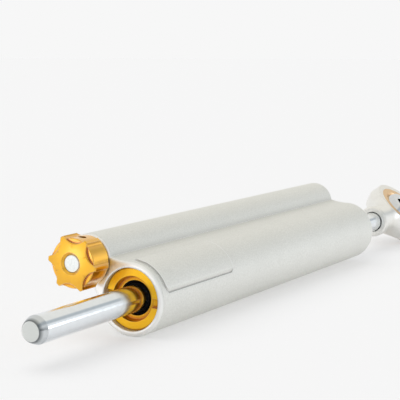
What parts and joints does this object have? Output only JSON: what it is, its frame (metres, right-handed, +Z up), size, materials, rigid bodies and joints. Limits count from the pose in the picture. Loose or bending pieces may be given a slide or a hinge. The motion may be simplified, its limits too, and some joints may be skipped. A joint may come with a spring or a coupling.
{
  "type": "motorcycle steering damper",
  "caption": "Twin-tube steering damper with a through rod, gold end cap and click knob, and a ball-jointed rod end; the knob sets how hard the rod resists the steering.",
  "frame": {"origin": "on the main tube's axis, half way along the casing, where a frame clamp grips it", "axes": "+X along the main tube from the knob end to the rod end, +Z up, and the side tube leans to +Y"},
  "size_m": [0.2861, 0.0363, 0.0314],
  "materials": {
    "satin_casing": "bead-blasted and clear anodised",
    "gold_anodised": "turned and gold anodised",
    "bare_aluminium": "turned",
    "chromed_rod": "hard chromed and polished",
    "plated_steel": "bright nickel plate",
    "polished_steel": "ground and polished",
    "bright_steel": "turned bright",
    "black_oxide_steel": "black oxide",
    "bronze": "sintered bronze",
    "filled_ptfe": "bronze-filled PTFE",
    "black_rubber": "nitrile rubber"
  },
  "bodies": {
    "casing": {"body_casing": "satin_casing", "front_end_cap": "gold_anodised", "cap_o_ring": "black_rubber", "front_guide_bush": "bronze", "front_rod_seal": "black_rubber", "front_wiper": "black_rubber", "rear_guide_bush": "bronze", "rear_rod_seal": "black_rubber", "rear_wiper": "black_rubber", "rear_circlip": "bright_steel", "adjuster_housing": "gold_anodised", "housing_o_rings": "black_rubber", "needle_guide": "bare_aluminium", "valve_seat": "bronze", "reservoir_plug": "bare_aluminium", "plug_o_ring": "black_rubber", "reservoir_spring": "bright_steel"},
    "piston": {"piston": "bare_aluminium", "piston_band": "filled_ptfe", "piston_o_ring": "black_rubber"},
    "rod": {"piston_rod": "chromed_rod", "piston_circlips": "bright_steel", "rod_end_housing": "plated_steel", "rod_end_race": "bronze"},
    "ball": {"rod_end_ball": "polished_steel"},
    "knob": {"adjuster_knob": "gold_anodised", "knob_grub_screw": "black_oxide_steel", "adjuster_spindle": "bright_steel", "spindle_o_ring": "black_rubber"},
    "needle": {"metering_needle": "bright_steel"},
    "float": {"reservoir_piston": "bare_aluminium", "reservoir_o_ring": "black_rubber"}
  },
  "joints": [
    {"name": "rod_stroke", "type": "slide", "parent": "casing", "child": "piston", "axis": [1, 0, 0], "range_m": [-0.024, 0.044]},
    {"name": "rod_spin", "type": "hinge", "parent": "piston", "child": "rod", "pos_m": [0, 0, 0], "axis": [1, 0, 0], "continuous": true},
    {"name": "ball_swivel", "type": "hinge", "parent": "rod", "child": "ball", "pos_m": [0.1403, 0, 0], "axis": [0, -0.7547, -0.6561], "range_deg": [-13, 13]},
    {"name": "knob_turn", "type": "hinge", "parent": "casing", "child": "knob", "pos_m": [-0.0825, 0.01438, 0.01083], "axis": [1, 0, 0], "range_deg": [-360, 360]},
    {"name": "needle_feed", "type": "slide", "parent": "casing", "child": "needle", "axis": [1, 0, 0], "range_m": [-0.0008, 0.0008]},
    {"name": "reservoir_float", "type": "slide", "parent": "casing", "child": "float", "axis": [1, 0, 0], "range_m": [-0.002, 0.006], "stiffness_N_per_m": 300, "deforming": ["reservoir_spring"]}
  ],
  "couplings": [
    {"joint": "needle_feed", "follows": "knob_turn", "m_per_rad": 0.0001273}
  ]
}
